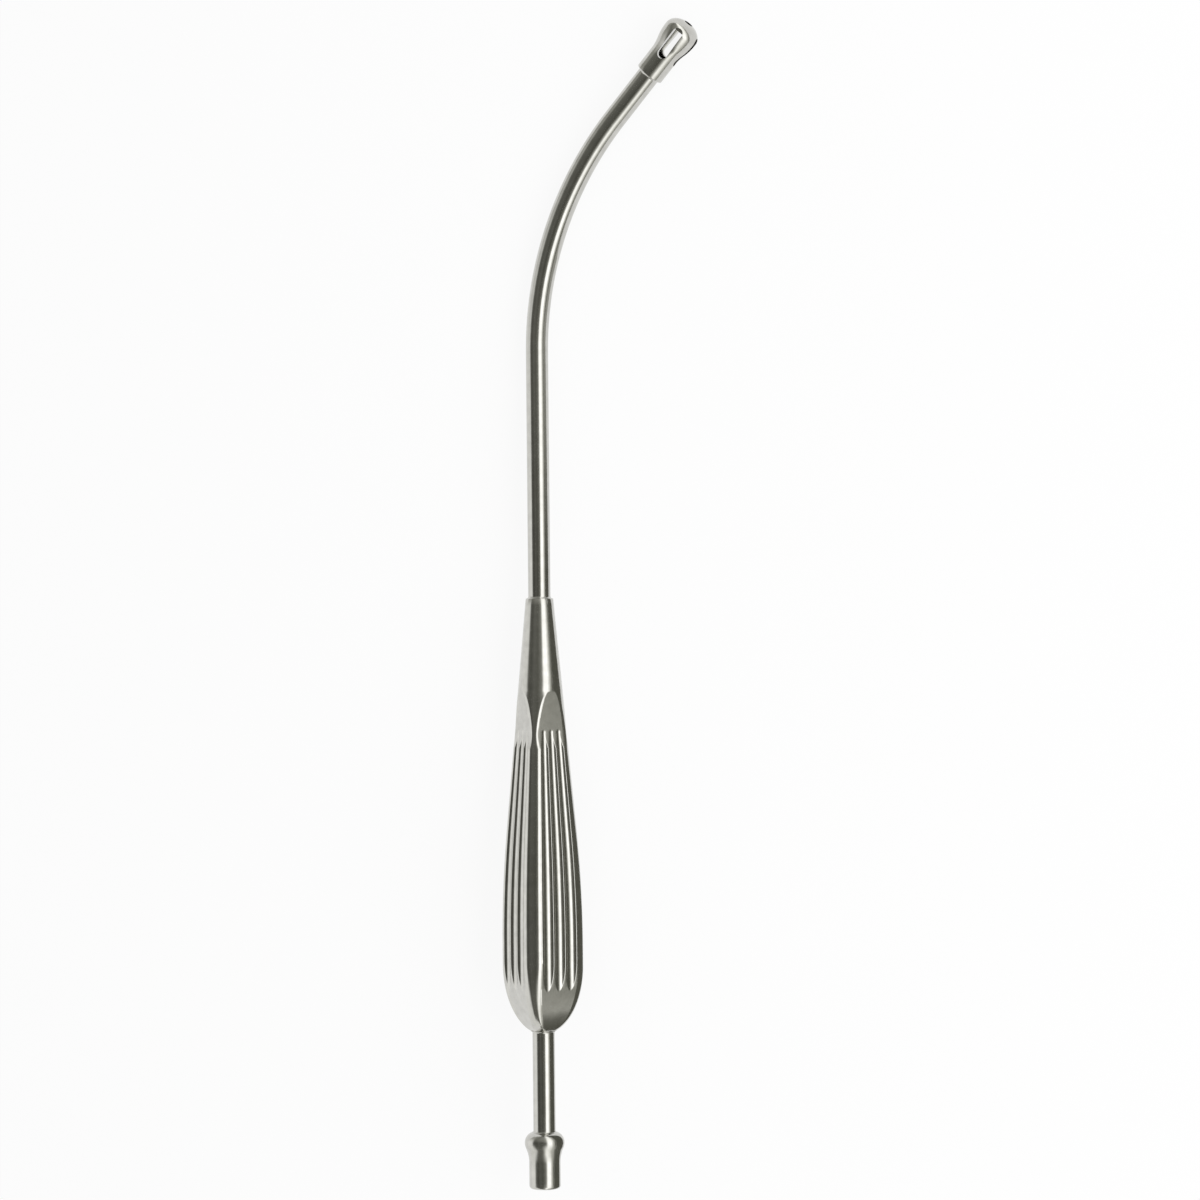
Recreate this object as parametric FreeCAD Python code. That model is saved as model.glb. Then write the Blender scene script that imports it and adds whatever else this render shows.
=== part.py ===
import FreeCAD, Part
import math
import os

# Lengths are in millimetres and angles in degrees.

# Drawn tube, one piece from the tip through the handle to the hose connector
tube_outside = 6.5
tube_wall = 0.6
front_straight = 71.5   # handle neck to the start of the bend
bend_radius = 97.2      # middle line of the tube
bend_angle = 43.1
tip_straight = 16.3     # end of the bend to the collar of the tip
rear_length = 155.5     # handle neck back to the hose connector
braze_gap = 0.05        # room for the braze round the tube, on the radius
edge_break = 0.25       # corners of the turned pieces

# Slotted tip, heights from its collar's mouth
collar_radius = 4.15
collar_length = 6.0
bulb_radius = 5.3
bulb_start = 14.3
bulb_end = 14.8
dome_length = 3.7
tip_socket = 5.5
slot_width = 3.0
slot_start = 6.2
slot_end = 16.6
slot_floor = 1.9        # from the axis
slot_turn = -15.5       # first slot against the plane of the bend
bore_stop = 1.5         # bore ends this far short of the slots
end_hole = 2.6

# Hollow handle, heights from its neck
rib_turn = -13.5        # first rib against the plane of the bend
neck_radius = 4.0
neck_land = 6.0         # grip on the tube at the neck
cone_to_rear = 57.95    # end of the straight cone to the handle's rear
swell_length = 32.8172  # curve between the cone and the fat part
handle_radius = 11.85
rear_dome_length = 19.6
handle_length = 125.95
rear_lip = 0.34         # wall at the rear hole, at the ribs
side_ratio = 0.82       # flat side's distance over the rib's radius
side_dome_length = 22.5
side_lip = 0.25         # wall at the rear hole, at the flat sides
rib_rounding = 0.254    # rounding of the rib's edges over its radius
narrowest_rib = 1.5     # degrees of its crest left between two roundings
shell_wall = 0.9

# Scooped start of each flat side
scoop_lowest = 38.0
scoop_dip = 0.29788     # below the line of the flat side
scoop_near_arc = 110.0
scoop_far_arc = 22.0
scoop_first_cut = 0.08
neck_ledge = 0.04       # neck stands proud of the ribs where the scoops start

# Flutes, side by side on each flat side
flutes_per_side = 3
flute_start = 38.5
flute_past_dome = 12.0  # cutter runs on past the start of the dome
flute_steepness = 0.42  # depth over half the width
crest_land = 0.25
flute_depth = 0.75      # deepest, at the fat end

# Olive and push-on end for the hose, heights from its shoulder
shoulder_radius = 3.8
olive_radius = 5.8
olive_height = 2.9
waist_radius = 4.57
waist_start = 8.7
waist_inflection = 0.31  # share of the fall from olive to waist
connector_length = 16.3
lip_rounding = 0.9
connector_socket = 10.0

tube_radius = tube_outside / 2
lumen_radius = tube_radius - tube_wall
bore_radius = tube_radius + braze_gap
side_count = 4
quarter = 90.0
clear = 2.0             # cutters run this far past what they cut
curve_steps = 4         # sections along each curved length of the handle
flute_steps = 2         # the same for a flute along the swell

origin = FreeCAD.Vector(0, 0, 0)
x_axis = FreeCAD.Vector(1, 0, 0)
y_axis = FreeCAD.Vector(0, 1, 0)
z_axis = FreeCAD.Vector(0, 0, 1)


def at(radius, height):
    return FreeCAD.Vector(radius, 0, height)


def path(points):
    return [Part.makeLine(a, b) for a, b in zip(points, points[1:])]


# Arc that leaves "level" running along the axis and ends at "end"
def level_arc(level, end):
    across = end.z - level.z
    rise = end.x - level.x
    radius = (across ** 2 + rise ** 2) / (2 * rise)
    half = math.atan(rise / across)
    middle = at(level.x + radius * (1 - math.cos(half)), level.z + radius * math.sin(half))
    return Part.Arc(level, middle, end).toShape()


# Height at which an arc leaving a slope has levelled off
def level_height(height, radius, slope, level_radius):
    return height + (level_radius - radius) / math.tan(math.atan(slope) / 2)


# Part of an ellipse from its widest circle down to the radius "rim"
def dome_edge(start, radius, length, rim):
    centre = at(0, start)
    rim_angle = math.acos(rim / radius)
    if length > radius:
        ellipse = Part.Ellipse(at(0, start + length), at(radius, start), centre)
        return Part.ArcOfEllipse(ellipse, math.pi / 2 - rim_angle, math.pi / 2).toShape()
    ellipse = Part.Ellipse(at(radius, start), at(0, start + length), centre)
    return Part.ArcOfEllipse(ellipse, 0, rim_angle).toShape()


def dome_end(start, radius, length, rim):
    return start + length * math.sin(math.acos(rim / radius))


def face_of(edges):
    return Part.Face(Part.Wire(Part.__sortEdges__(edges)))


def turned(edges):
    return face_of(edges).revolve(origin, z_axis, 4 * quarter)


def bore(radius, start, end):
    return Part.makeCylinder(radius, end - start, at(0, start))


def bend_end():
    turn = math.radians(bend_angle)
    return FreeCAD.Vector(bend_radius * (1 - math.cos(turn)),
                          front_straight + bend_radius * math.sin(turn), 0)


def tip_direction():
    turn = math.radians(bend_angle)
    return FreeCAD.Vector(math.sin(turn), math.cos(turn), 0)


def along_tip(distance):
    return bend_end() + tip_direction() * (tip_straight + distance)


# Tube, swept along its bent middle line
def suction_tube():
    half_turn = math.radians(bend_angle / 2)
    tail = y_axis * -(rear_length + connector_socket - braze_gap)
    bend_start = y_axis * front_straight
    bend_middle = FreeCAD.Vector(bend_radius * (1 - math.cos(half_turn)),
                                 front_straight + bend_radius * math.sin(half_turn), 0)
    middle_line = Part.Wire([
        Part.makeLine(tail, bend_start),
        Part.Arc(bend_start, bend_middle, bend_end()).toShape(),
        Part.makeLine(bend_end(), along_tip(tip_socket - braze_gap))])
    rings = [Part.Wire(Part.makeCircle(r, tail, y_axis)) for r in (tube_radius, lumen_radius)]
    return middle_line.makePipe(Part.Face(rings))


def tip_body():
    inflection = at((collar_radius + bulb_radius) / 2, (collar_length + bulb_start) / 2)
    edges = path([at(0, dome_end(bulb_end, bulb_radius, dome_length, 0)),
                  at(0, 0),
                  at(collar_radius - edge_break, 0),
                  at(collar_radius, edge_break),
                  at(collar_radius, collar_length)])
    edges.append(level_arc(at(collar_radius, collar_length), inflection))
    edges.append(level_arc(at(bulb_radius, bulb_start), inflection))
    edges += path([at(bulb_radius, bulb_start), at(bulb_radius, bulb_end)])
    edges.append(dome_edge(bulb_end, bulb_radius, dome_length, 0))
    return turned(edges)


# Slot with round ends, cut inward from the side
def tip_slot():
    half = slot_width / 2
    low = slot_start + half
    high = slot_end - half
    corners = [FreeCAD.Vector(slot_floor, across, height)
               for across, height in ((-half, low), (-half, high), (half, high), (half, low))]
    outline = [Part.makeLine(corners[0], corners[1]),
               Part.Arc(corners[1], at(slot_floor, slot_end), corners[2]).toShape(),
               Part.makeLine(corners[2], corners[3]),
               Part.Arc(corners[3], at(slot_floor, slot_start), corners[0]).toShape()]
    return face_of(outline).extrude(x_axis * (bulb_radius + clear - slot_floor))


def suction_tip():
    tip = tip_body()
    cutters = [bore(bore_radius, -clear, tip_socket),
               bore(lumen_radius, 0, slot_end - bore_stop),
               bore(end_hole / 2, 0, bulb_end + dome_length + clear)]
    for side in range(side_count):
        slot = tip_slot()
        slot.rotate(origin, z_axis, side * quarter)
        cutters.append(slot)
    tip = tip.cut(cutters)
    tip.rotate(origin, x_axis, -quarter)
    tip.rotate(origin, y_axis, -slot_turn)
    tip.rotate(origin, z_axis, -bend_angle)
    tip.translate(along_tip(0))
    return tip


# Start of a dome that ends at the handle's rear with the radius "rim"
def dome_start(radius, length, rim):
    return handle_length - length * math.sin(math.acos(rim / radius))


cone_end = handle_length - cone_to_rear
neck_slope = (handle_radius - neck_radius) / (cone_end + swell_length / 2)


def cone_radius(height):
    return neck_radius + neck_slope * height


cone_top = cone_radius(cone_end)
fat_start = level_height(cone_end, cone_top, neck_slope, handle_radius)
side_widest = handle_radius * side_ratio
rear_rim = bore_radius + rear_lip
side_rim = bore_radius + side_lip
rear_dome_start = dome_start(handle_radius, rear_dome_length, rear_rim)
side_dome_start = dome_start(side_widest, side_dome_length, side_rim)
scoop_depth_radius = cone_radius(scoop_lowest) * side_ratio - scoop_dip


# Distance below the level part of a tangent arc that began as a slope
def below_level(height, drop):
    span = fat_start - cone_end
    radius = (span ** 2 + drop ** 2) / (2 * drop)
    return radius - math.sqrt(radius ** 2 - (fat_start - height) ** 2)


def dome_share(height, start, length):
    return math.sqrt(1 - (max(height - start, 0) / length) ** 2)


def body_radius(height):
    if height < cone_end:
        return cone_radius(height)
    if height < fat_start:
        return handle_radius - below_level(height, handle_radius - cone_top)
    return handle_radius


def rib_radius(height):
    return body_radius(height) * dome_share(height, rear_dome_start, rear_dome_length)


def flat_distance(height):
    share = dome_share(height, side_dome_start, side_dome_length)
    return body_radius(height) * side_ratio * share


def scoop_distance(height):
    arc = scoop_near_arc if height < scoop_lowest else scoop_far_arc
    return scoop_depth_radius + arc - math.sqrt(arc ** 2 - (height - scoop_lowest) ** 2)


# Height at which an arc of the scoop meets a line that climbs along the handle
def scoop_meets(arc, first, slope, way):
    below = first + slope * scoop_lowest - scoop_depth_radius - arc
    spread = 1 + slope ** 2
    root = math.sqrt((below * slope) ** 2 - spread * (below ** 2 - arc ** 2))
    return scoop_lowest + (way * root - below * slope) / spread


scoop_start = scoop_meets(scoop_near_arc, neck_radius - scoop_first_cut, neck_slope, -1)
scoop_end = scoop_meets(scoop_far_arc, neck_radius * side_ratio, neck_slope * side_ratio, 1)


def side_distance(height):
    if height < scoop_end:
        return scoop_distance(height)
    return flat_distance(height)


# Rounding between a flat side and a rib that keeps its crest
def edge_rounding(radius, distance):
    widest = math.cos(math.radians((quarter - narrowest_rib) / 2))
    return min(radius * rib_rounding, (distance - radius * widest) / (1 - widest))


# Angle from a side's middle to the start of the rib, where the rounding ends
def rounding_end(radius, distance):
    rounding = edge_rounding(radius, distance)
    return math.acos((distance - rounding) / (radius - rounding))


# Point at an angle from the middle of one side, turned to that side
def on_section(side, distance, angle, height):
    turn = math.radians((side + 0.5) * quarter) + angle
    return FreeCAD.Vector(distance * math.cos(turn), distance * math.sin(turn), height)


# Points of one rounding, from the flat side out to the rib
def rounding_points(side, way, radius, distance, height):
    rounding = edge_rounding(radius, distance)
    angle = rounding_end(radius, distance)
    centre = on_section(side, radius - rounding, way * angle, height)
    return [centre + on_section(side, rounding, way * share * angle, 0) for share in (0, 0.5, 1)]


# Section with four round ribs, four flat sides and a rounding at each edge
def handle_section(height):
    radius = rib_radius(height)
    distance = side_distance(height)
    edges = []
    for side in range(side_count):
        before = rounding_points(side, -1, radius, distance, height)
        after = rounding_points(side, 1, radius, distance, height)
        following = rounding_points(side + 1, -1, radius, distance, height)
        rib_middle = on_section(side + 0.5, radius, 0, height)
        edges += [Part.Arc(*reversed(before)).toShape(),
                  Part.makeLine(before[0], after[0]),
                  Part.Arc(*after).toShape(),
                  Part.Arc(after[2], rib_middle, following[2]).toShape()]
    return Part.Wire(edges)


def steps(start, end, count):
    return [start + (end - start) * step / count for step in range(count + 1)]


# Round neck, then the scoops, the cone, the swell, the fat part and the dome
def handle_form():
    neck = turned(path([at(0, scoop_start), at(0, 0),
                        at(neck_radius - edge_break, 0),
                        at(cone_radius(edge_break), edge_break),
                        at(cone_radius(scoop_start) + neck_ledge, scoop_start),
                        at(0, scoop_start)]))
    dome = steps(side_dome_start, rear_dome_start, 1)
    dome += steps(rear_dome_start, handle_length, 2 * curve_steps)[1:]
    lengths = [steps(scoop_start, scoop_lowest, curve_steps),
               steps(scoop_lowest, scoop_end, curve_steps),
               [scoop_end, cone_end],
               steps(cone_end, fat_start, curve_steps),
               [fat_start, side_dome_start],
               dome]
    parts = [Part.makeLoft([handle_section(z) for z in heights], True, len(heights) == 2)
             for heights in lengths]
    return neck.fuse(parts)


# Round cutter of one flute, widening toward the fat end of the handle
def flute_cutter(place):
    rings = []
    heights = [flute_start] + steps(cone_end, fat_start, flute_steps)
    heights.append(side_dome_start + flute_past_dome)
    for height in heights:
        radius = body_radius(height)
        distance = radius * side_ratio
        rounding = edge_rounding(radius, distance)
        reach = (radius - rounding) * math.sin(rounding_end(radius, distance))
        pitch = 2 * reach / flutes_per_side
        half = (pitch - crest_land) / 2
        depth = half * flute_steepness
        flute_radius = (half ** 2 + depth ** 2) / (2 * depth)
        centre = FreeCAD.Vector(distance - depth + flute_radius, place * pitch, height)
        rings.append(Part.Wire(Part.makeCircle(flute_radius, centre, z_axis)))
    return Part.makeLoft(rings, True, True)


# Hollow between the handle's skin and the tube
def handle_cavity():
    skin = flute_depth + shell_wall
    widest = side_widest - skin
    hollow_dome = side_dome_length - skin
    rear_end = dome_end(side_dome_start, widest, hollow_dome, bore_radius)
    edges = path([at(bore_radius, rear_end),
                  at(bore_radius, neck_land),
                  at(cone_radius(neck_land) - shell_wall, neck_land),
                  at(scoop_depth_radius - shell_wall, scoop_lowest),
                  at(cone_top * side_ratio - skin, cone_end),
                  at(widest, fat_start),
                  at(widest, side_dome_start)])
    edges.append(dome_edge(side_dome_start, widest, hollow_dome, bore_radius))
    return turned(edges)


def handle_body():
    cutters = [handle_cavity(), bore(bore_radius, -clear, handle_length + clear)]
    middle = (flutes_per_side - 1) / 2
    for side in range(side_count):
        for flute in range(flutes_per_side):
            cutter = flute_cutter(flute - middle)
            cutter.rotate(origin, z_axis, (side + 0.5) * quarter)
            cutters.append(cutter)
    return handle_form().cut(cutters)


# The two pressed shells meet along the two ribs at the sides
def handle_shells():
    body = handle_body()
    reach = handle_radius + clear
    shells = []
    for low in (0, -reach):
        half = Part.makeBox(2 * reach, reach, handle_length, FreeCAD.Vector(-reach, low, 0))
        shell = body.common(half)
        shell.rotate(origin, x_axis, quarter)
        shell.rotate(origin, y_axis, -rib_turn)
        shells.append(shell)
    return shells


def hose_connector():
    olive_top = at(olive_radius, olive_height)
    inflection = at(olive_radius + (waist_radius - olive_radius) * waist_inflection,
                    olive_height + (waist_start - olive_height) * waist_inflection)
    edges = [level_arc(olive_top, at(shoulder_radius, 0)),
             level_arc(olive_top, inflection),
             level_arc(at(waist_radius, waist_start), inflection),
             level_arc(at(waist_radius, connector_length - lip_rounding),
                       at(waist_radius - lip_rounding, connector_length))]
    edges += path([at(waist_radius, waist_start), at(waist_radius, connector_length - lip_rounding)])
    edges += path([at(waist_radius - lip_rounding, connector_length),
                   at(0, connector_length), at(0, 0), at(shoulder_radius, 0)])
    body = turned(edges).cut([bore(bore_radius, -clear, connector_socket),
                              bore(lumen_radius, 0, connector_length + clear)])
    body.rotate(origin, x_axis, quarter)
    body.translate(y_axis * -rear_length)
    return body


# Way up when the fat part of the handle, the bend and the bulb all touch the table
def resting_up():
    swell = ((fat_start - cone_end) ** 2 + (handle_radius - cone_top) ** 2) / (
        2 * (handle_radius - cone_top))
    bulb_span = (bulb_start - collar_length) / 2
    bulb_rise = (bulb_radius - collar_radius) / 2
    bulb_curve = (bulb_span ** 2 + bulb_rise ** 2) / (2 * bulb_rise)
    bulb = along_tip(bulb_start)
    side = 0.0
    pitch = 0.0
    for step in range(200):
        level = math.sqrt(1 - pitch ** 2)
        steepest = math.hypot(side, pitch)
        handle_drop = level * (handle_radius - swell) + swell
        bend_drop = bend_radius * (steepest - side) + tube_radius
        pitch = (bend_drop - handle_drop) / (front_straight + fat_start)
        tip_rise = side * tip_direction().x + pitch * tip_direction().y
        bulb_drop = math.sqrt(1 - tip_rise ** 2) * (bulb_radius - bulb_curve) + bulb_curve
        steepest = (bulb_drop - tube_radius + side * (bend_radius - bulb.x)
                    - pitch * (bulb.y - front_straight)) / bend_radius
        side = math.sqrt(max(steepest ** 2 - pitch ** 2, 0))
    return FreeCAD.Vector(side, pitch, math.sqrt(1 - side ** 2 - pitch ** 2))


def laid_on_table(shapes):
    up = resting_up()
    ahead = (y_axis - up * up.y).normalize()
    right = ahead.cross(up)
    lie = FreeCAD.Placement(FreeCAD.Matrix(right.x, right.y, right.z, 0,
                                           ahead.x, ahead.y, ahead.z, 0,
                                           up.x, up.y, up.z, 0,
                                           0, 0, 0, 1))
    for shape in shapes:
        shape.Placement = lie.multiply(shape.Placement)
    box = Part.makeCompound(shapes).optimalBoundingBox(False, False)
    for shape in shapes:
        shape.translate(FreeCAD.Vector(-box.Center.x, -box.Center.y, -box.ZMin))


os.makedirs("parts", exist_ok=True)
front, back = handle_shells()
pieces = {"suction_tip": suction_tip(),
          "suction_tube": suction_tube(),
          "handle_shell_front": front,
          "handle_shell_back": back,
          "hose_connector": hose_connector()}
laid_on_table(list(pieces.values()))
for name, shape in pieces.items():
    shape.exportStep("parts/" + name + ".step")
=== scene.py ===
import math
import bpy
import bmesh
from mathutils import Matrix, Vector


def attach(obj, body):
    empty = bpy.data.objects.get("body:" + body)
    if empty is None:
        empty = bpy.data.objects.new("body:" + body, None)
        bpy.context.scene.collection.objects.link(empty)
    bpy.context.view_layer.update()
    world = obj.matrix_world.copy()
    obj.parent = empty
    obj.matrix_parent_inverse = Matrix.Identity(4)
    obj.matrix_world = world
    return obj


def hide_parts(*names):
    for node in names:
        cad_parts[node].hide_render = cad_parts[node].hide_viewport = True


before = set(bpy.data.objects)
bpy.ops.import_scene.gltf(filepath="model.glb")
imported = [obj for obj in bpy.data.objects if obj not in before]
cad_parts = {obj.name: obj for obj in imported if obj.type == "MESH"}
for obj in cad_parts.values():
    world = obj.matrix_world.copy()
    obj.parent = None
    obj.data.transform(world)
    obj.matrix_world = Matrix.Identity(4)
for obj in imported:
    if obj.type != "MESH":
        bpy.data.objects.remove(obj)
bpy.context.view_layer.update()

mm = 0.001
turn = 2 * math.pi

# Tube's own frame as the part lies on the table, in millimetres: X toward the side of the bend,
# Y along the tube toward the tip, Z square to the plane of the bend, origin at the handle's neck
restUp = Vector((0.112543, -0.046801, 0.992544))
restAhead = (Vector((0, 1, 0)) - restUp * restUp.y).normalized()
restRight = restAhead.cross(restUp)
neckPoint = Vector((-19.9835, 3.2882, 7.5045)) * mm
tubeFrame = (Matrix.Translation(neckPoint) @ Matrix((restRight, restAhead, restUp)).to_4x4()
             @ Matrix.Scale(mm, 4))

# Sizes in millimetres, as the CAD has them. A dome is its start and its length.
tube = {"radius": 3.25, "lumen": 2.65, "bore": 3.3, "straight": 71.5, "bendRadius": 97.2,
        "bend": math.radians(43.1), "tipStraight": 16.3, "rear": 155.5}
handle = {"neckRadius": 4.0, "slope": 0.093, "coneEnd": 68.0, "radius": 11.85, "fatStart": 100.888,
          "ratio": 0.82, "ribDome": (107.298, 19.6), "sideDome": (105.005, 22.5), "length": 125.95,
          "rounding": 0.254, "rib": 1.5, "turn": 13.5, "start": 0.12, "ledge": 0.13,
          "land": 6.0, "wall": 0.9, "fluteDepth": 0.75}
scoop = {"lowest": 38.0, "depth": 5.88, "nearArc": 110.0, "farArc": 22.0, "start": 27.002, "end": 43.602}
flutes = {"land": 0.25, "steepness": 0.42, "start": 38.5, "rim": 0.3}
tip = {"collar": 4.15, "collarEnd": 6.0, "bulb": 5.3, "bulbStart": 14.3, "bulbEnd": 14.8, "dome": 3.7,
       "socket": 5.5, "slotHalf": 1.5, "slotStart": 6.2, "slotEnd": 16.6, "slotFloor": 1.9,
       "slotReach": 5.0, "boreEnd": 15.1, "hole": 1.3, "turn": 15.5, "edge": 0.25}
connector = {"shoulder": 3.8, "olive": 5.8, "oliveAt": 2.9, "waist": 4.57, "waistAt": 8.7, "share": 0.31,
             "length": 16.3, "lip": 0.9, "socket": 10.0, "boreEdge": 0.15}
brazeGap = 0.05
bend = tube["bend"]

bendCentre = Vector((tube["bendRadius"], tube["straight"], 0))
pastBend = Vector((math.sin(bend), math.cos(bend), 0))
tipSeam = (bendCentre + tube["bendRadius"] * Vector((-math.cos(bend), math.sin(bend), 0))
           + tube["tipStraight"] * pastBend)
facingBack = Matrix.Rotation(turn / 4, 4, "X")
handleFrame = tubeFrame @ Matrix.Rotation(math.radians(handle["turn"]), 4, "Y") @ facingBack
connectorFrame = tubeFrame @ Matrix.Translation((0, -tube["rear"], 0)) @ facingBack
tipFrame = (tubeFrame @ Matrix.Translation(tipSeam) @ Matrix.Rotation(-bend, 4, "Z")
            @ Matrix.Rotation(math.radians(tip["turn"]), 4, "Y") @ facingBack.inverted())


# Even stations from start to end, about a step apart
def spread(start, end, step):
    count = max(1, round((end - start) / step))
    return [start + (end - start) * k / count for k in range(count + 1)]


# Camera at the photograph's angle: it looks down on the tube, turned toward the bend
cameraSide = math.radians(63)       # from the plane of the bend
cameraRoll = math.radians(-0.56)
cameraReach = 1077 * mm
neckInView = (-17.65, 0.58)         # neck from the middle of the view, mm
cameraLens = 111
filmWidth = 36
tubeTurn = tubeFrame.to_3x3().normalized()
viewBack = tubeTurn @ Vector((math.cos(cameraSide), 0, math.sin(cameraSide)))
tubeAxis = tubeTurn @ Vector((0, 1, 0))
acrossTube = tubeAxis.cross(viewBack)
viewRight = acrossTube * math.cos(cameraRoll) + tubeAxis * math.sin(cameraRoll)
viewUp = viewBack.cross(viewRight)
viewMiddle = neckPoint - viewRight * neckInView[0] * mm - viewUp * neckInView[1] * mm
cameraData = bpy.data.cameras.new("camera")
cameraData.lens = cameraLens
cameraData.sensor_width = filmWidth
cameraData.clip_end = 20            # past the far edge of the floor
camera = bpy.data.objects.new("camera", cameraData)
camera.matrix_world = (Matrix.Translation(viewMiddle + viewBack * cameraReach)
                       @ Matrix((viewRight, viewUp, viewBack)).transposed().to_4x4())
bpy.context.scene.collection.objects.link(camera)
bpy.context.scene.camera = camera


# Colour written in sRGB, turned to linear
def linear(code):
    values = [int(code[k:k + 2], 16) / 255 for k in (1, 3, 5)]
    return [v / 12.92 if v <= 0.04045 else ((v + 0.055) / 1.055) ** 2.4 for v in values] + [1]


# Adds a node, sets its values and joins its inputs
def node(tree, kind, values=None, links=None, **settings):
    made = tree.nodes.new("ShaderNode" + kind)
    for key, value in settings.items():
        setattr(made, key, value)
    for key, value in (values or {}).items():
        made.inputs[key].default_value = value
    for key, source in (links or {}).items():
        tree.links.new(source, made.inputs[key])
    return made


# Material with an empty node tree
def emptyMaterial(name):
    material = bpy.data.materials.new(name)
    material.use_nodes = True
    material.cycles.emission_sampling = "NONE"      # what glows is only seen, and lights nothing
    material.node_tree.nodes.clear()
    return material, material.node_tree


# Polished stainless steel: a bright mirror with a warm grey cast. Fine working lines soften the
# reflections along one direction, and faint wipe marks make them uneven. A value in metres is
# the height of the relief. The lines are 0.3 to 0.6 mm apart, coarser than real ones, to show.
def steel(name, look):
    material, tree = emptyMaterial(name)
    place = node(tree, "TexCoord").outputs["Object"]
    aligned = node(tree, "Mapping", {"Rotation": look["turned"]}, {"Vector": place}, vector_type="TEXTURE")
    stretched = node(tree, "Mapping", {"Scale": look["stretch"]}, {"Vector": aligned.outputs[0]})
    lines = node(tree, "TexNoise", {"Scale": look["lineScale"], "Detail": 4, "Roughness": 0.65},
                 {"Vector": stretched.outputs[0]})
    wipes = node(tree, "TexNoise", {"Scale": 55, "Detail": 3, "Roughness": 0.5, "Distortion": 0.4},
                 {"Vector": place})
    mottle = node(tree, "TexNoise", {"Scale": 420, "Detail": 3}, {"Vector": place})
    soft = node(tree, "MapRange", {"From Min": 0.3, "From Max": 0.7, "To Min": look["rough"][0],
                                   "To Max": look["rough"][1]}, {"Value": lines.outputs[0]})
    smudge = node(tree, "MapRange", {"From Min": 0.52, "From Max": 0.75, "To Min": 0,
                                     "To Max": look["smudge"]}, {"Value": wipes.outputs[0]})
    rough = node(tree, "Math", None, {0: soft.outputs[0], 1: smudge.outputs[0]}, operation="ADD")
    tone = node(tree, "ValToRGB", None, {"Fac": mottle.outputs[0]})
    tone.color_ramp.elements[0].position = 0.3
    tone.color_ramp.elements[0].color = linear(look["dark"])
    tone.color_ramp.elements[1].position = 0.7
    tone.color_ramp.elements[1].color = linear(look["light"])
    fine = node(tree, "Bump", {"Strength": look["lineBump"], "Distance": 0.00002},
                {"Height": lines.outputs[0]})
    uneven = node(tree, "Bump", {"Strength": look["waviness"], "Distance": 0.0002},
                  {"Height": wipes.outputs[0], "Normal": fine.outputs[0]})
    shader = node(tree, "BsdfPrincipled", {"Metallic": 1},
                  {"Base Color": tone.outputs[0], "Roughness": rough.outputs[0], "Normal": uneven.outputs[0]})
    node(tree, "OutputMaterial", None, {"Surface": shader.outputs[0]})
    return material


tubeSlope = math.radians(-2.68)     # of the tube on the table
alongTube = (tubeSlope, 0, 0)
alongTip = (tubeSlope, 0, -bend)
alongY = (1, 0.02, 1)               # stretches the lines lengthwise, as drawing leaves them
aroundY = (0.05, 1, 0.05)           # closes them round the piece, as turning leaves them
drawn = steel("steel_drawn", {"turned": alongTube, "stretch": alongY, "lineScale": 2600,
                              "rough": (0.1, 0.16), "smudge": 0.06, "lineBump": 0.06, "waviness": 0.02,
                              "dark": "#bfbeb9", "light": "#cac9c4"})
pressed = steel("steel_pressed", {"turned": alongTube, "stretch": (1, 0.05, 1), "lineScale": 1800,
                                  "rough": (0.1, 0.17), "smudge": 0.08, "lineBump": 0.05, "waviness": 0.03,
                                  "dark": "#c0bfba", "light": "#cccbc6"})
turned = {"stretch": aroundY, "lineScale": 3000, "rough": (0.12, 0.18), "smudge": 0.05,
          "lineBump": 0.08, "waviness": 0.02, "dark": "#bfbeb9", "light": "#cbcac5"}
turnedRear = steel("steel_turned_rear", {"turned": alongTube, **turned})
turnedTip = steel("steel_turned_tip", {"turned": alongTip, **turned})
print("materials ready")


# Makes an object of a mesh worked in millimetres in its own frame
def finishPiece(name, bm, place, material, replaced, sharp=35):
    bmesh.ops.recalc_face_normals(bm, faces=bm.faces)
    bmesh.ops.transform(bm, matrix=place, verts=bm.verts)
    mesh = bpy.data.meshes.new(name)
    bm.to_mesh(mesh)
    bm.free()
    mesh.shade_smooth()
    mesh.set_sharp_from_angle(angle=math.radians(sharp))
    mesh.materials.append(material)
    piece = bpy.data.objects.new(name, mesh)
    bpy.context.scene.collection.objects.link(piece)
    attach(piece, "root")
    if replaced:
        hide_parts(replaced)
    return piece


# Solid turned from a closed profile of (radius, height) points
def turnedMesh(profile, steps):
    bm = bmesh.new()
    verts = [bm.verts.new((radius, 0, height)) for radius, height in profile]
    edges = [bm.edges.new((a, b)) for a, b in zip(verts, verts[1:] + verts[:1])]
    bmesh.ops.spin(bm, geom=verts + edges, cent=(0, 0, 0), axis=(0, 0, 1), angle=turn, steps=steps,
                   use_merge=True)
    bmesh.ops.remove_doubles(bm, verts=bm.verts, dist=0.0001)
    return bm


# Points of the arc that starts along the axis at one (radius, height) and ends at the other
def levelArc(level, end, count):
    along = end[1] - level[1]
    rise = end[0] - level[0]
    radius = (along ** 2 + rise ** 2) / (2 * abs(rise))
    sweep = math.atan2(2 * abs(rise * along), along ** 2 - rise ** 2)
    return [(level[0] + math.copysign(radius * (1 - math.cos(angle)), rise),
             level[1] + math.copysign(radius * math.sin(angle), along))
            for angle in spread(0, sweep, sweep / count)]


# Round corner of a profile, a quarter turn from the start angle
def corner(centre, radius, start, count):
    return [(centre[0] + radius * math.cos(start + turn / 4 * k / count),
             centre[1] + radius * math.sin(start + turn / 4 * k / count)) for k in range(count + 1)]


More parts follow.
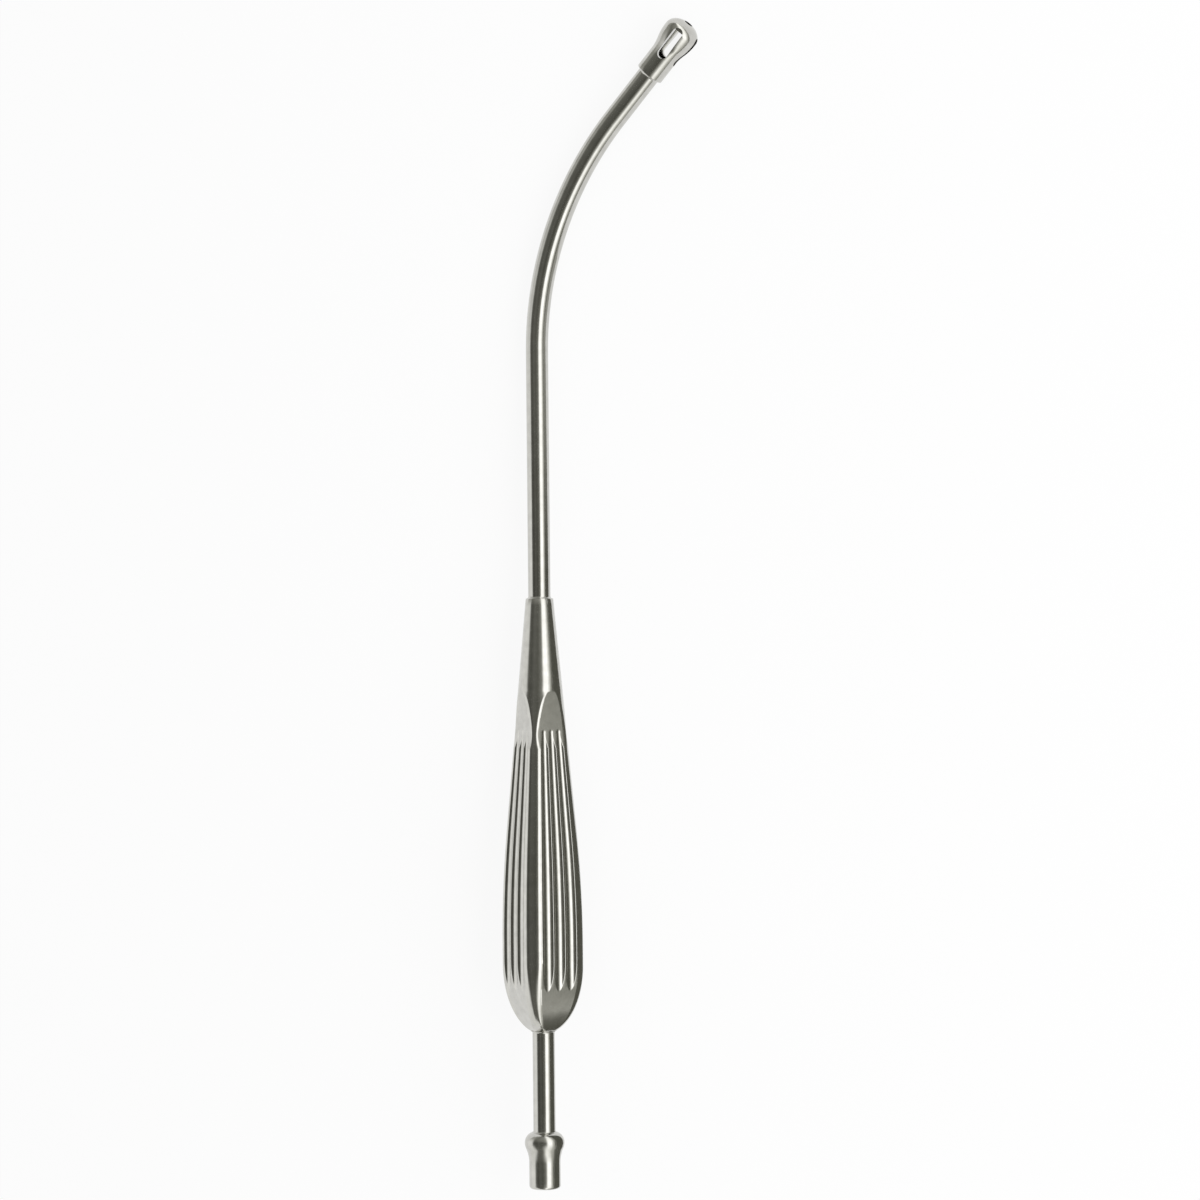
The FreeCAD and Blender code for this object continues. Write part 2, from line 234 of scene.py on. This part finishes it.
# Tube: a ring extruded along the straight, spun round the bend and extruded to the tip
def tubeWall(bm, radius, rear, front):
    ring = bmesh.ops.create_circle(bm, segments=112, radius=radius)["verts"]
    bmesh.ops.transform(bm, matrix=Matrix.Translation((0, rear, 0)) @ facingBack, verts=ring)
    edges = list({edge for vert in ring for edge in vert.link_edges})
    first = edges
    for station in spread(rear, tube["straight"], 12)[1:]:
        step = station - max(v.co.y for edge in edges for v in edge.verts)
        made = bmesh.ops.extrude_edge_only(bm, edges=edges)["geom"]
        edges = [item for item in made if isinstance(item, bmesh.types.BMEdge)
                 and all(v in made for v in item.verts)]
        edges = [edge for edge in edges if len(edge.link_faces) == 1]
        verts = list({v for edge in edges for v in edge.verts})
        bmesh.ops.translate(bm, vec=(0, step, 0), verts=verts)
    bent = bmesh.ops.spin(bm, geom=edges, cent=bendCentre, axis=(0, 0, -1), angle=bend,
                          steps=72)["geom_last"]
    edges = [item for item in bent if isinstance(item, bmesh.types.BMEdge)]
    made = bmesh.ops.extrude_edge_only(bm, edges=edges)["geom"]
    verts = [item for item in made if isinstance(item, bmesh.types.BMVert)]
    bmesh.ops.translate(bm, vec=pastBend * front, verts=verts)
    last = [edge for edge in {e for v in verts for e in v.link_edges} if all(v in verts for v in edge.verts)]
    return first, last


def buildTube():
    bm = bmesh.new()
    rear = -(tube["rear"] + connector["socket"] - brazeGap)
    front = tube["tipStraight"] + tip["socket"] - brazeGap
    outerFirst, outerLast = tubeWall(bm, tube["radius"], rear, front)
    innerFirst, innerLast = tubeWall(bm, tube["lumen"], rear, front)
    bmesh.ops.bridge_loops(bm, edges=outerFirst + innerFirst)
    bmesh.ops.bridge_loops(bm, edges=outerLast + innerLast)
    return finishPiece("tube", bm, tubeFrame, drawn, "suction_tube")


buildTube()
print("tube ready")


# Shape of the handle at a height from its neck, all in millimetres
def bodyRadius(z):
    if z < handle["coneEnd"]:
        return handle["neckRadius"] + handle["slope"] * z
    if z < handle["fatStart"]:
        span = handle["fatStart"] - handle["coneEnd"]
        drop = handle["radius"] - handle["neckRadius"] - handle["slope"] * handle["coneEnd"]
        arc = (span ** 2 + drop ** 2) / (2 * drop)
        return handle["radius"] - arc + math.sqrt(arc ** 2 - (handle["fatStart"] - z) ** 2)
    return handle["radius"]


# Share of the full width left at a height on an elliptic dome
def domeShare(z, dome):
    return math.sqrt(1 - (max(z - dome[0], 0) / dome[1]) ** 2)


# Distance of a side's flat from the axis, in the scoop and behind it
def sideDistance(z):
    if z < scoop["end"]:
        arc = scoop["nearArc"] if z < scoop["lowest"] else scoop["farArc"]
        return scoop["depth"] + arc - math.sqrt(arc ** 2 - (z - scoop["lowest"]) ** 2)
    return bodyRadius(z) * handle["ratio"] * domeShare(z, handle["sideDome"])


# Radius of the rounding between a side and a rib, which leaves at least the narrowest rib
def edgeRounding(radius, distance):
    widest = math.cos(math.radians(45 - handle["rib"] / 2))
    return min(radius * handle["rounding"], (distance - radius * widest) / (1 - widest))


# Angle from the side's middle at which the rounding meets the rib
def roundingEnd(radius, distance):
    rounding = edgeRounding(radius, distance)
    return math.acos((distance - rounding) / (radius - rounding))


# One flute's section: pitch, height of its circle's centre, its radius and the rounding of its rims
def fluteSection(z):
    radius = bodyRadius(z)
    flat = radius * handle["ratio"]
    reach = (radius - edgeRounding(radius, flat)) * math.sin(roundingEnd(radius, flat))
    pitch = 2 * reach / 3
    half = (pitch - flutes["land"]) / 2
    depth = half * flutes["steepness"]
    arc = (half ** 2 + depth ** 2) / (2 * depth)
    return pitch, flat - depth + arc, arc


# Columns of the mesh: in a flute's wall, in its rim, in the rounding and in half a rib. Where a
# flute fades out its columns stay apart by these shares of the pitch.
wallSteps = 7
rimSteps = 3
roundingSteps = 7
ribSteps = 3
leastWall = 0.15
leastRim = 0.03
mostRim = 0.498
nearlyRound = 0.9999


# Half of one side's section from its middle to the rib, as (across, out) points
def halfSide(z):
    radius = bodyRadius(z) * domeShare(z, handle["ribDome"])
    distance = min(sideDistance(z), radius * nearlyRound)
    rounding = edgeRounding(radius, distance)
    end = roundingEnd(radius, distance)
    edge = (radius - rounding) * math.sin(end)
    pitch, centre, arc = fluteSection(z)
    cut = distance - centre + arc if z > flutes["start"] else 0
    rim = flutes["rim"]
    wall = 0
    lip = 0
    if cut > 0:
        rim = min(rim, (pitch ** 2 / 4 - arc ** 2 + (centre - distance) ** 2) / (2 * cut))
        lip = min(math.sqrt(max((arc + rim) ** 2 - (centre - distance + rim) ** 2, 0)), pitch / 2)
        wall = lip * arc / (arc + rim)
    scale = min(1, edge / (1.5 * pitch))
    wallAt = max(wall, leastWall * pitch)
    lipAt = min(max(lip, wallAt + leastRim * pitch), mostRim * pitch)
    offsets = [wallAt * k / wallSteps for k in range(wallSteps + 1)]
    offsets += [wallAt + (lipAt - wallAt) * k / rimSteps for k in range(1, rimSteps + 1)] + [pitch / 2]

    def out(offset):
        if offset < wall:
            return centre - math.sqrt(arc ** 2 - offset ** 2)
        if offset < lip:
            return distance - rim + math.sqrt(max(rim ** 2 - (lip - offset) ** 2, 0))
        return distance

    points = [(offset * scale, out(offset)) for offset in offsets]
    points += [((pitch - offset) * scale, out(offset)) for offset in reversed(offsets[:-1])]
    points += [((pitch + offset) * scale, out(offset)) for offset in offsets[1:]]
    for k in range(roundingSteps + 1):
        angle = end * k / roundingSteps
        points.append((edge + rounding * math.sin(angle),
                       (radius - rounding) * math.cos(end) + rounding * math.cos(angle)))
    for k in range(1, ribSteps + 1):
        angle = end + (turn / 8 - end) * k / ribSteps
        points.append((radius * math.sin(angle), radius * math.cos(angle)))
    return points


# Half ring of the handle at a height: two whole sides from seam to seam
def halfRing(z):
    half = halfSide(z)
    side = [(-across, out) for across, out in reversed(half)] + half[1:]
    ring = []
    for quarter in (0.5, 1.5):
        angle = turn / 4 * quarter
        points = [(out * math.cos(angle) - across * math.sin(angle),
                   out * math.sin(angle) + across * math.cos(angle)) for across, out in side]
        ring += points if not ring else points[1:]
    return ring


# Radius of the handle's turned cavity at a height behind the neck's land
def cavityRadius(z):
    skin = handle["fluteDepth"] + handle["wall"]
    widest = handle["radius"] * handle["ratio"] - skin
    stations = [(handle["land"], bodyRadius(handle["land"]) - handle["wall"]),
                (scoop["lowest"], scoop["depth"] - handle["wall"]),
                (handle["coneEnd"], bodyRadius(handle["coneEnd"]) * handle["ratio"] - skin),
                (handle["fatStart"], widest), (handle["sideDome"][0], widest)]
    if z > handle["sideDome"][0]:
        rise = (z - handle["sideDome"][0]) / (handle["sideDome"][1] - skin)
        return max(tube["bore"], widest * math.sqrt(max(1 - rise ** 2, 0)))
    for (low, first), (high, last) in zip(stations, stations[1:]):
        if z <= high:
            return first + (last - first) * (z - low) / (high - low)


# A grid whose columns and rows are then placed by a function
def placedGrid(bm, columns, rows, at):
    made = bmesh.ops.create_grid(bm, x_segments=columns, y_segments=rows, size=1)["verts"]
    grid = {}
    for vert in made:
        column = round((vert.co.x + 1) / 2 * columns)
        row = round((vert.co.y + 1) / 2 * rows)
        grid[column, row] = vert
    for (column, row), vert in grid.items():
        vert.co = at(column, row)
    return grid


# Heights of the rings of a skin from its first ones, as steps up to each end
def ringHeights(first, steps):
    heights = list(first)
    for end, step in steps:
        heights += spread(heights[-1], end, step)[1:]
    return heights


# The rings lie close where a scoop begins and ends, and where the flutes run out on the dome
outerHeights = ringHeights([handle["start"], 0.3], [
    (27, 1.8), (30, 0.15), (39, 0.3), (scoop["end"], 0.1), (44.5, 0.15), (handle["coneEnd"], 1.6),
    (handle["sideDome"][0], 1.1), (111, 0.5), (115.4, 0.12), (handle["length"], 0.35)])
innerHeights = ringHeights([handle["start"], handle["land"], handle["land"] + 0.01, 10], [
    (66, 8), (70, 4), (102, 8), (104.5, 2.5), (125, 1), (handle["length"], 0.95)])


# Half ring of the outside, which is a plain cone as far as the scoops
def outerRing(z):
    if z > scoop["start"]:
        return halfRing(z)
    radius = bodyRadius(z) - (handle["ledge"] if z == handle["start"] else 0)
    return [Vector(point).normalized() * radius for point in halfRing(scoop["start"] + 0.001)]


# Half of the handle. Its section changes all the way, so each ring of a grid is placed by its
# formula, and the inner skin is a second grid bridged to the first at both ends.
def buildShell(name, replaced, side):
    bm = bmesh.new()
    rings = [outerRing(z) for z in outerHeights]
    columns = len(rings[0]) - 1
    rows = len(outerHeights) - 1
    innerRows = len(innerHeights) - 1

    def outerAt(column, row):
        across, out = rings[row][column]
        return (across, out * side, outerHeights[row])

    def innerAt(column, row):
        z = innerHeights[row]
        radius = tube["bore"] if z <= handle["land"] else cavityRadius(z)
        angle = turn / 2 * column / columns
        return (radius * math.cos(angle), radius * math.sin(angle) * side, z)

    outer = placedGrid(bm, columns, rows, outerAt)
    inner = placedGrid(bm, columns, innerRows, innerAt)
    for outerRow, innerRow in ((0, 0), (rows, innerRows)):
        edges = []
        for grid, row in ((outer, outerRow), (inner, innerRow)):
            edges += [bm.edges.get((grid[k, row], grid[k + 1, row])) for k in range(columns)]
        bmesh.ops.bridge_loops(bm, edges=edges)
    for column in (0, columns):
        seam = [outer[column, row] for row in range(rows + 1)]
        bm.faces.new(seam + [inner[column, row] for row in range(innerRows, -1, -1)])
    return finishPiece(name, bm, handleFrame, pressed, replaced, 50)


buildShell("shell_front", "handle_shell_front", 1)
buildShell("shell_back", "handle_shell_back", -1)
print("handle ready")


# Connector: turned from its shoulder over the olive to the waist and the rounded lip
def buildConnector():
    c = connector
    olive = (c["olive"], c["oliveAt"])
    waist = (c["waist"], c["waistAt"])
    meeting = [a + (b - a) * c["share"] for a, b in zip(olive, waist)]
    profile = [(tube["bore"], 0), (c["shoulder"], 0)]
    profile += levelArc(olive, (c["shoulder"], 0), 14)[::-1][1:]
    profile += levelArc(olive, meeting, 8)[1:]
    profile += levelArc(waist, meeting, 12)[::-1][1:]
    profile += [(c["waist"], z) for z in spread(c["waistAt"], c["length"] - c["lip"], 1.2)[1:]]
    profile += corner((c["waist"] - c["lip"], c["length"] - c["lip"]), c["lip"], 0, 7)[1:]
    edge = c["boreEdge"]
    profile += corner((tube["lumen"] + edge, c["length"] - edge), edge, turn / 4, 3)
    profile += [(tube["lumen"], c["socket"]), (tube["bore"], c["socket"])]
    return finishPiece("hose_end", turnedMesh(profile, 128), connectorFrame, turnedRear, "hose_connector")


buildConnector()


# Object of a mesh that only takes part in a cut
def passingObject(name, bm):
    mesh = bpy.data.meshes.new(name)
    bm.to_mesh(mesh)
    bm.free()
    made = bpy.data.objects.new(name, mesh)
    bpy.context.scene.collection.objects.link(made)
    return made


# Body of the tip: a collar, a bulb and a dome round the end hole
def tipBody():
    t = tip
    meeting = ((t["collar"] + t["bulb"]) / 2, (t["collarEnd"] + t["bulbStart"]) / 2)
    profile = [(tube["bore"], 0)]
    profile += corner((t["collar"] - t["edge"], t["edge"]), t["edge"], -turn / 4, 4)
    profile += [(t["collar"], z) for z in spread(t["edge"], t["collarEnd"], 1.2)[1:]]
    profile += levelArc((t["collar"], t["collarEnd"]), meeting, 14)[1:]
    profile += levelArc((t["bulb"], t["bulbStart"]), meeting, 14)[::-1][1:]
    domeEnd = math.acos(t["hole"] / t["bulb"])
    profile += [(t["bulb"] * math.cos(angle), t["bulbEnd"] + t["dome"] * math.sin(angle))
                for angle in spread(0, domeEnd, domeEnd / 28)]
    profile += [(t["hole"], t["boreEnd"]), (tube["lumen"], t["boreEnd"])]
    profile += [(tube["lumen"], t["socket"]), (tube["bore"], t["socket"])]
    bm = turnedMesh(profile, 160)
    bmesh.ops.recalc_face_normals(bm, faces=bm.faces)
    return passingObject("tip_body", bm)


# Four round-ended blocks that cut the slots, each from the slots' floor outward
def tipSlots():
    bm = bmesh.new()
    half = tip["slotHalf"]
    outline = []
    for centre, first in ((tip["slotEnd"] - half, 0), (tip["slotStart"] + half, turn / 2)):
        outline += [(half * math.cos(angle), centre + half * math.sin(angle))
                    for angle in spread(first, first + turn / 2, turn / 48)]
    for quarter in range(4):
        face = bm.faces.new([bm.verts.new((tip["slotFloor"], across, z)) for across, z in outline])
        made = bmesh.ops.extrude_face_region(bm, geom=[face])["geom"]
        verts = [item for item in made if isinstance(item, bmesh.types.BMVert)]
        bmesh.ops.translate(bm, vec=(tip["slotReach"], 0, 0), verts=verts)
        bmesh.ops.rotate(bm, verts=bm.verts, matrix=Matrix.Rotation(turn / 4, 3, "Z"))
    bmesh.ops.recalc_face_normals(bm, faces=bm.faces)
    return passingObject("tip_slots", bm)


def buildTip():
    body = tipBody()
    slots = tipSlots()
    cut = body.modifiers.new("slots", "BOOLEAN")
    cut.operation = "DIFFERENCE"
    cut.solver = "EXACT"
    cut.object = slots
    evaluated = body.evaluated_get(bpy.context.evaluated_depsgraph_get())
    bm = bmesh.new()
    bm.from_mesh(evaluated.to_mesh())
    evaluated.to_mesh_clear()
    for extra in (body, slots):
        mesh = extra.data
        bpy.data.objects.remove(extra)
        bpy.data.meshes.remove(mesh)
    return finishPiece("slotted_tip", bm, tipFrame, turnedTip, "suction_tip", 30)


buildTip()
print("ends ready")


# Smooth beads of braze in the corners between the tube and what ends on it
def buildBraze():
    places = [(handleFrame, handle["start"], -1, 0.5), (handleFrame, handle["length"], 1, 0.45),
              (tipFrame, 0, -1, 0.45), (connectorFrame, 0, -1, 0.45)]
    sink = 0.1      # into the tube and the piece
    lift = 0.02     # off their faces
    low = tube["radius"] - sink
    whole = bmesh.new()
    for place, height, way, size in places:
        outside = tube["bore"] + size
        profile = [(low, height - way * sink), (outside, height - way * sink), (outside, height + way * lift)]
        for angle in spread(0, turn / 4, turn / 28)[1:-1]:
            profile.append((outside - size * math.sin(angle),
                            height + way * (size - size * math.cos(angle) + lift)))
        profile += [(tube["radius"] + lift, height + way * (size + brazeGap)), (low, height + way * size)]
        bead = turnedMesh(profile, 72)
        bmesh.ops.transform(bead, matrix=tubeFrame.inverted() @ place, verts=bead.verts)
        mesh = bpy.data.meshes.new("bead")
        bead.to_mesh(mesh)
        bead.free()
        whole.from_mesh(mesh)
        bpy.data.meshes.remove(mesh)
    return finishPiece("braze_beads", whole, tubeFrame, turnedRear, None, 60)


buildBraze()


# Part of the studio. What isn't in view is seen only in the steel.
def stageObject(name, bm, material, inView):
    mesh = bpy.data.meshes.new(name)
    bm.to_mesh(mesh)
    bm.free()
    mesh.materials.append(material)
    made = bpy.data.objects.new(name, mesh)
    bpy.context.scene.collection.objects.link(made)
    if not inView:
        made.visible_camera = False
        made.visible_diffuse = False
        made.visible_shadow = False
        made.visible_transmission = False
    return made


# Tones of the tent by degrees round the tube from the camera, to its right, with one row of
# tones beside the part, one beyond the tip and one behind the handle
tentSeen = {
    "middle": [(-180, "#c8c8c8"), (-78, "#c8c8c7"), (-68, "#4a4a46"), (-52, "#3a3a36"), (-34, "#4c4c48"),
               (-14, "#40403b"), (6, "#5c5c57"), (13, "#84847f"), (19, "#ffffff"), (42, "#ffffff"),
               (50, "#b4b4b0"), (59, "#9c9c97"), (65, "#484840"), (180, "#484840")],
    "ahead": [(-180, "#8c8c88"), (-84, "#7c7c77"), (-66, "#5c5c57"), (-40, "#6c6c67"), (-8, "#72726d"),
              (8, "#8c8c87"), (20, "#f0f0ee"), (46, "#f0f0ee"), (60, "#84847f"), (180, "#70706a")],
    "behind": [(-180, "#bcbcba"), (-66, "#bcbcba"), (-54, "#50504b"), (-18, "#54544f"), (-4, "#94948f"),
               (12, "#f0f0ee"), (38, "#d0d0cc"), (56, "#9c9c97"), (180, "#92928c")]}
tentRadius = 0.9
tentStrength = 1.9


# Cloth of the tent: its tones turn with the angle round the tube and blend along it
def tentMaterial():
    material, tree = emptyMaterial("tent")
    place = node(tree, "TexCoord").outputs["Object"]
    parts = [node(tree, "VectorMath", {1: list(axis / tentRadius)}, {0: place},
                  operation="DOT_PRODUCT").outputs["Value"] for axis in (acrossTube, tubeAxis, viewBack)]
    angle = node(tree, "Math", None, {0: parts[0], 1: parts[2]}, operation="ARCTAN2")
    share = node(tree, "MapRange", {"From Min": -math.pi, "From Max": math.pi}, {"Value": angle.outputs[0]})
    tones = {}
    for name, stops in tentSeen.items():
        ramp = node(tree, "ValToRGB", None, {"Fac": share.outputs[0]})
        elements = ramp.color_ramp.elements
        for degrees, code in stops[1:-1]:
            elements.new((degrees + 180) / 360).color = linear(code)
        elements[0].color = linear(stops[0][1])
        elements[-1].color = linear(stops[-1][1])
        tones[name] = ramp.outputs[0]
    ahead = node(tree, "MapRange", {"From Min": 0.02, "From Max": 0.6}, {"Value": parts[1]})
    behind = node(tree, "MapRange", {"From Min": -0.3, "From Max": -0.8}, {"Value": parts[1]})
    first = node(tree, "MixRGB", None, {"Fac": ahead.outputs[0], "Color1": tones["middle"],
                                        "Color2": tones["ahead"]})
    both = node(tree, "MixRGB", None, {"Fac": behind.outputs[0], "Color1": first.outputs[0],
                                       "Color2": tones["behind"]})
    glow = node(tree, "Emission", {"Strength": tentStrength}, {"Color": both.outputs[0]})
    node(tree, "OutputMaterial", None, {"Surface": glow.outputs[0]})
    return material


tent = bmesh.new()
bmesh.ops.create_uvsphere(tent, u_segments=64, v_segments=32, radius=tentRadius)
stageObject("tent", tent, tentMaterial(), False)

# Glowing sheet on the floor beside the part, seen only in the steel: its dark tones are painted shade in the
# reflections at the right, paler toward the rear
shadeSheet = bmesh.new()
bmesh.ops.create_grid(shadeSheet, x_segments=2, y_segments=2, size=0.5)
shadeSheetSize = (0.6, 0.95, 1)
shadeSheetCentre = (0.292, -0.375, 0.00005)      # its left edge runs just right of the tube
bmesh.ops.scale(shadeSheet, vec=shadeSheetSize, verts=shadeSheet.verts)
bmesh.ops.translate(shadeSheet, vec=shadeSheetCentre, verts=shadeSheet.verts)
shadeSheetMaterial, shadeSheetTree = emptyMaterial("shadeSheet")
shadeSheetPlace = node(shadeSheetTree, "SeparateXYZ", None, {"Vector": node(shadeSheetTree, "TexCoord").outputs["Object"]})
shadeSheetShare = node(shadeSheetTree, "MapRange", {"From Min": -0.5, "From Max": 0.1},
                  {"Value": shadeSheetPlace.outputs[1]})
# Painted shade: the dark middle of these tones is shade shown in the steel beside the part
shadeSheetTone = node(shadeSheetTree, "ValToRGB", None, {"Fac": shadeSheetShare.outputs[0]})
shadeSheetTone.color_ramp.elements[0].color = linear("#a9a9a3")
shadeSheetTone.color_ramp.elements[1].color = linear("#b8b8b2")
shadeSheetTone.color_ramp.elements.new(0.55).color = linear("#62625a")
shadeSheetTone.color_ramp.elements.new(0.85).color = linear("#62625a")
shadeSheetGlow = node(shadeSheetTree, "Emission", None, {"Color": shadeSheetTone.outputs[0]})
node(shadeSheetTree, "OutputMaterial", None, {"Surface": shadeSheetGlow.outputs[0]})
stageObject("shadeSheet", shadeSheet, shadeSheetMaterial, False)


# Camera, glossy and transmission rays, for which the background is white
def shownRays(tree):
    path = node(tree, "LightPath")
    seen = node(tree, "Math", None, {0: path.outputs["Is Camera Ray"], 1: path.outputs["Is Glossy Ray"]},
                operation="MAXIMUM")
    return node(tree, "Math", None, {0: seen.outputs[0], 1: path.outputs["Is Transmission Ray"]},
                operation="MAXIMUM").outputs[0]


# Plain pale floor that keeps the shadow
floorMesh = bmesh.new()
bmesh.ops.create_grid(floorMesh, x_segments=4, y_segments=4, size=4)
floorMaterial, floorTree = emptyMaterial("floor")
grain = node(floorTree, "TexNoise", {"Scale": 30}, {"Vector": node(floorTree, "TexCoord").outputs["Object"]})
paper = node(floorTree, "ValToRGB", None, {"Fac": grain.outputs[0]})
paper.color_ramp.elements[0].color = linear("#f6f6f6")
paper.color_ramp.elements[1].color = linear("#fafafa")
matte = node(floorTree, "BsdfPrincipled", {"Roughness": 0.9, "Specular IOR Level": 0},
             {"Base Color": paper.outputs[0]})
white = node(floorTree, "Emission", {"Strength": 1})
backlight = 0.88        # the rest is lit by the lamp and keeps the shadow
backlit = node(floorTree, "Math", {1: backlight}, {0: shownRays(floorTree)}, operation="MULTIPLY")
blend = node(floorTree, "MixShader", None, {0: backlit.outputs[0], 1: matte.outputs[0], 2: white.outputs[0]})
node(floorTree, "OutputMaterial", None, {"Surface": blend.outputs[0]})
stageObject("floor", floorMesh, floorMaterial, True)


# Softbox at the right of the camera
boxSide = math.radians(36)
boxReach = 0.9
toward = viewBack * math.cos(boxSide) + acrossTube * math.sin(boxSide)
boxData = bpy.data.lights.new("softbox_right", "AREA")
boxData.shape = "RECTANGLE"
boxData.size = 0.64
boxData.size_y = 1.8
boxData.energy = 7.5
box = bpy.data.objects.new("softbox_right", boxData)
box.matrix_world = (Matrix.Translation(viewMiddle + toward * boxReach)
                    @ Matrix((tubeAxis.cross(toward), tubeAxis, toward)).transposed().to_4x4())
box.visible_camera = False
box.visible_glossy = False      # the tent shows the box in the steel
bpy.context.scene.collection.objects.link(box)

world = bpy.data.worlds.new("studio")
bpy.context.scene.world = world
world.use_nodes = True
worldTree = world.node_tree
worldTree.nodes.clear()
strength = node(worldTree, "MapRange", {"To Min": 0.6, "To Max": 1}, {"Value": shownRays(worldTree)})
sky = node(worldTree, "Background", {"Color": (1, 1, 1, 1)}, {"Strength": strength.outputs[0]})
node(worldTree, "OutputWorld", None, {"Surface": sky.outputs[0]})

bpy.context.scene.view_settings.view_transform = "Standard"
print("studio ready")
